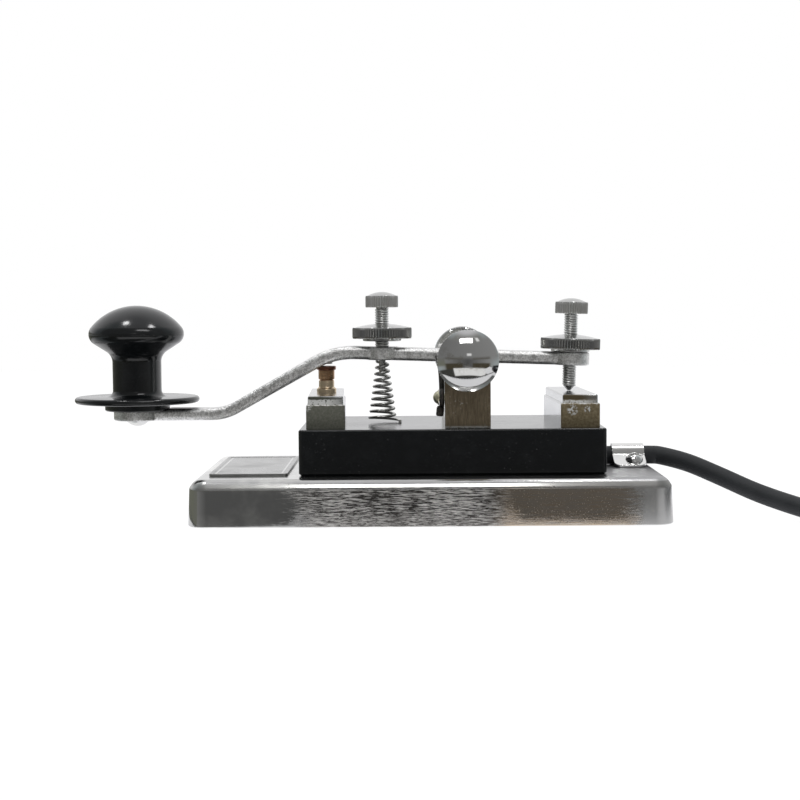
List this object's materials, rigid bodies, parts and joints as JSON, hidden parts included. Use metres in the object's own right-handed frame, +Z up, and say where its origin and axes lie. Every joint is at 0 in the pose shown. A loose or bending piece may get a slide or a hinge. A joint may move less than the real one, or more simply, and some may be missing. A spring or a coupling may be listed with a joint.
{
  "type": "telegraph key",
  "caption": "Straight hand key: a sprung lever with a knob rocks in a yoke and closes a contact on an insulating block, on a plated base, with a coiled cord and a plug.",
  "frame": {"origin": "centre of the rubber pad's underside, on the table", "axes": "+X from the knob to the cord, +Y away from the viewer across the key, +Z up"},
  "size_m": [0.3025, 0.1028, 0.0628],
  "materials": {
    "plated_casting": "bright chrome plating on a die casting, scratched and pitted with age",
    "plated_brass": "nickel or chrome plating over turned brass, dulled",
    "cast_lever": "plated casting with a fine grain",
    "bare_steel": "bare or zinc plated steel",
    "bakelite": "black moulded phenolic resin with a polished skin",
    "old_brass": "brown aged brass with what is left of its plating",
    "silver": "silver contact",
    "pigtail_wire": "flexible wire in a dark sleeve",
    "cord_jacket": "dark rubber cord jacket",
    "core_insulation": "coloured core insulation",
    "pad_rubber": "thin ribbed rubber sheet",
    "plug_metal": "nickel plated plug"
  },
  "bodies": {
    "base": {"base_shell": "plated_casting", "base_floor_plate": "bare_steel", "base_floor_screws": "bare_steel", "base_pad": "pad_rubber", "name_plate": "plated_brass", "insulating_block": "bakelite", "block_screws": "bare_steel", "front_strip": "plated_brass", "front_contact_plate": "plated_brass", "contact_post": "old_brass", "strip_screws": "bare_steel", "rear_strip": "plated_brass", "rear_contact_plate": "plated_brass", "pivot_yoke": "old_brass", "yoke_screws": "bare_steel", "return_spring": "bare_steel", "pigtail": "pigtail_wire", "pigtail_screw": "old_brass", "cord_clamp": "plated_brass", "clamp_screw": "plated_brass", "cord_leads": "core_insulation", "cord_run": "cord_jacket", "cord_coil": "cord_jacket", "cord_tail": "cord_jacket", "plug_grip": "bakelite", "plug_sleeve": "plug_metal", "plug_insulator": "bakelite", "plug_tip": "plug_metal"},
    "key_lever": {"lever": "cast_lever", "lever_axle": "bare_steel", "lever_contact": "silver", "knob": "bakelite", "knob_insert": "old_brass", "knob_screw": "plated_brass"},
    "spring_adjuster": {"spring_screw": "plated_brass"},
    "spring_nut": {"spring_lock_nut": "plated_brass"},
    "gap_adjuster": {"gap_screw": "plated_brass"},
    "gap_nut": {"gap_lock_nut": "plated_brass"},
    "front_bearing": {"bearing_screw_front": "plated_brass"},
    "back_bearing": {"bearing_screw_back": "plated_brass"}
  },
  "joints": [
    {"name": "key_press", "type": "hinge", "parent": "base", "child": "key_lever", "pos_m": [0.01045, 0, 0.044], "axis": [0, -1, 0], "range_deg": [0, 0.8], "stiffness_Nm_per_rad": 0.86, "springref_deg": -11.46, "deforming": ["return_spring"]},
    {"name": "spring_screw_turn", "type": "hinge", "parent": "key_lever", "child": "spring_adjuster", "pos_m": [-0.0131, 0, 0.057], "axis": [0, 0, 1], "range_deg": [-180, 180]},
    {"name": "spring_nut_turn", "type": "hinge", "parent": "key_lever", "child": "spring_nut", "pos_m": [-0.0131, 0, 0.051], "axis": [0, 0, 1], "range_deg": [-180, 180]},
    {"name": "gap_screw_turn", "type": "hinge", "parent": "key_lever", "child": "gap_adjuster", "pos_m": [0.0404, 0, 0.04346], "axis": [0.0349, 0, 0.9994], "range_deg": [-180, 180]},
    {"name": "gap_nut_turn", "type": "hinge", "parent": "key_lever", "child": "gap_nut", "pos_m": [0.0404, 0, 0.04346], "axis": [0.0349, 0, 0.9994], "range_deg": [-180, 180]},
    {"name": "front_bearing_turn", "type": "hinge", "parent": "base", "child": "front_bearing", "pos_m": [0.01045, -0.0245, 0.044], "axis": [0, 1, 0], "range_deg": [-180, 180]},
    {"name": "back_bearing_turn", "type": "hinge", "parent": "base", "child": "back_bearing", "pos_m": [0.01045, 0.0245, 0.044], "axis": [0, 1, 0], "range_deg": [-180, 180]}
  ]
}
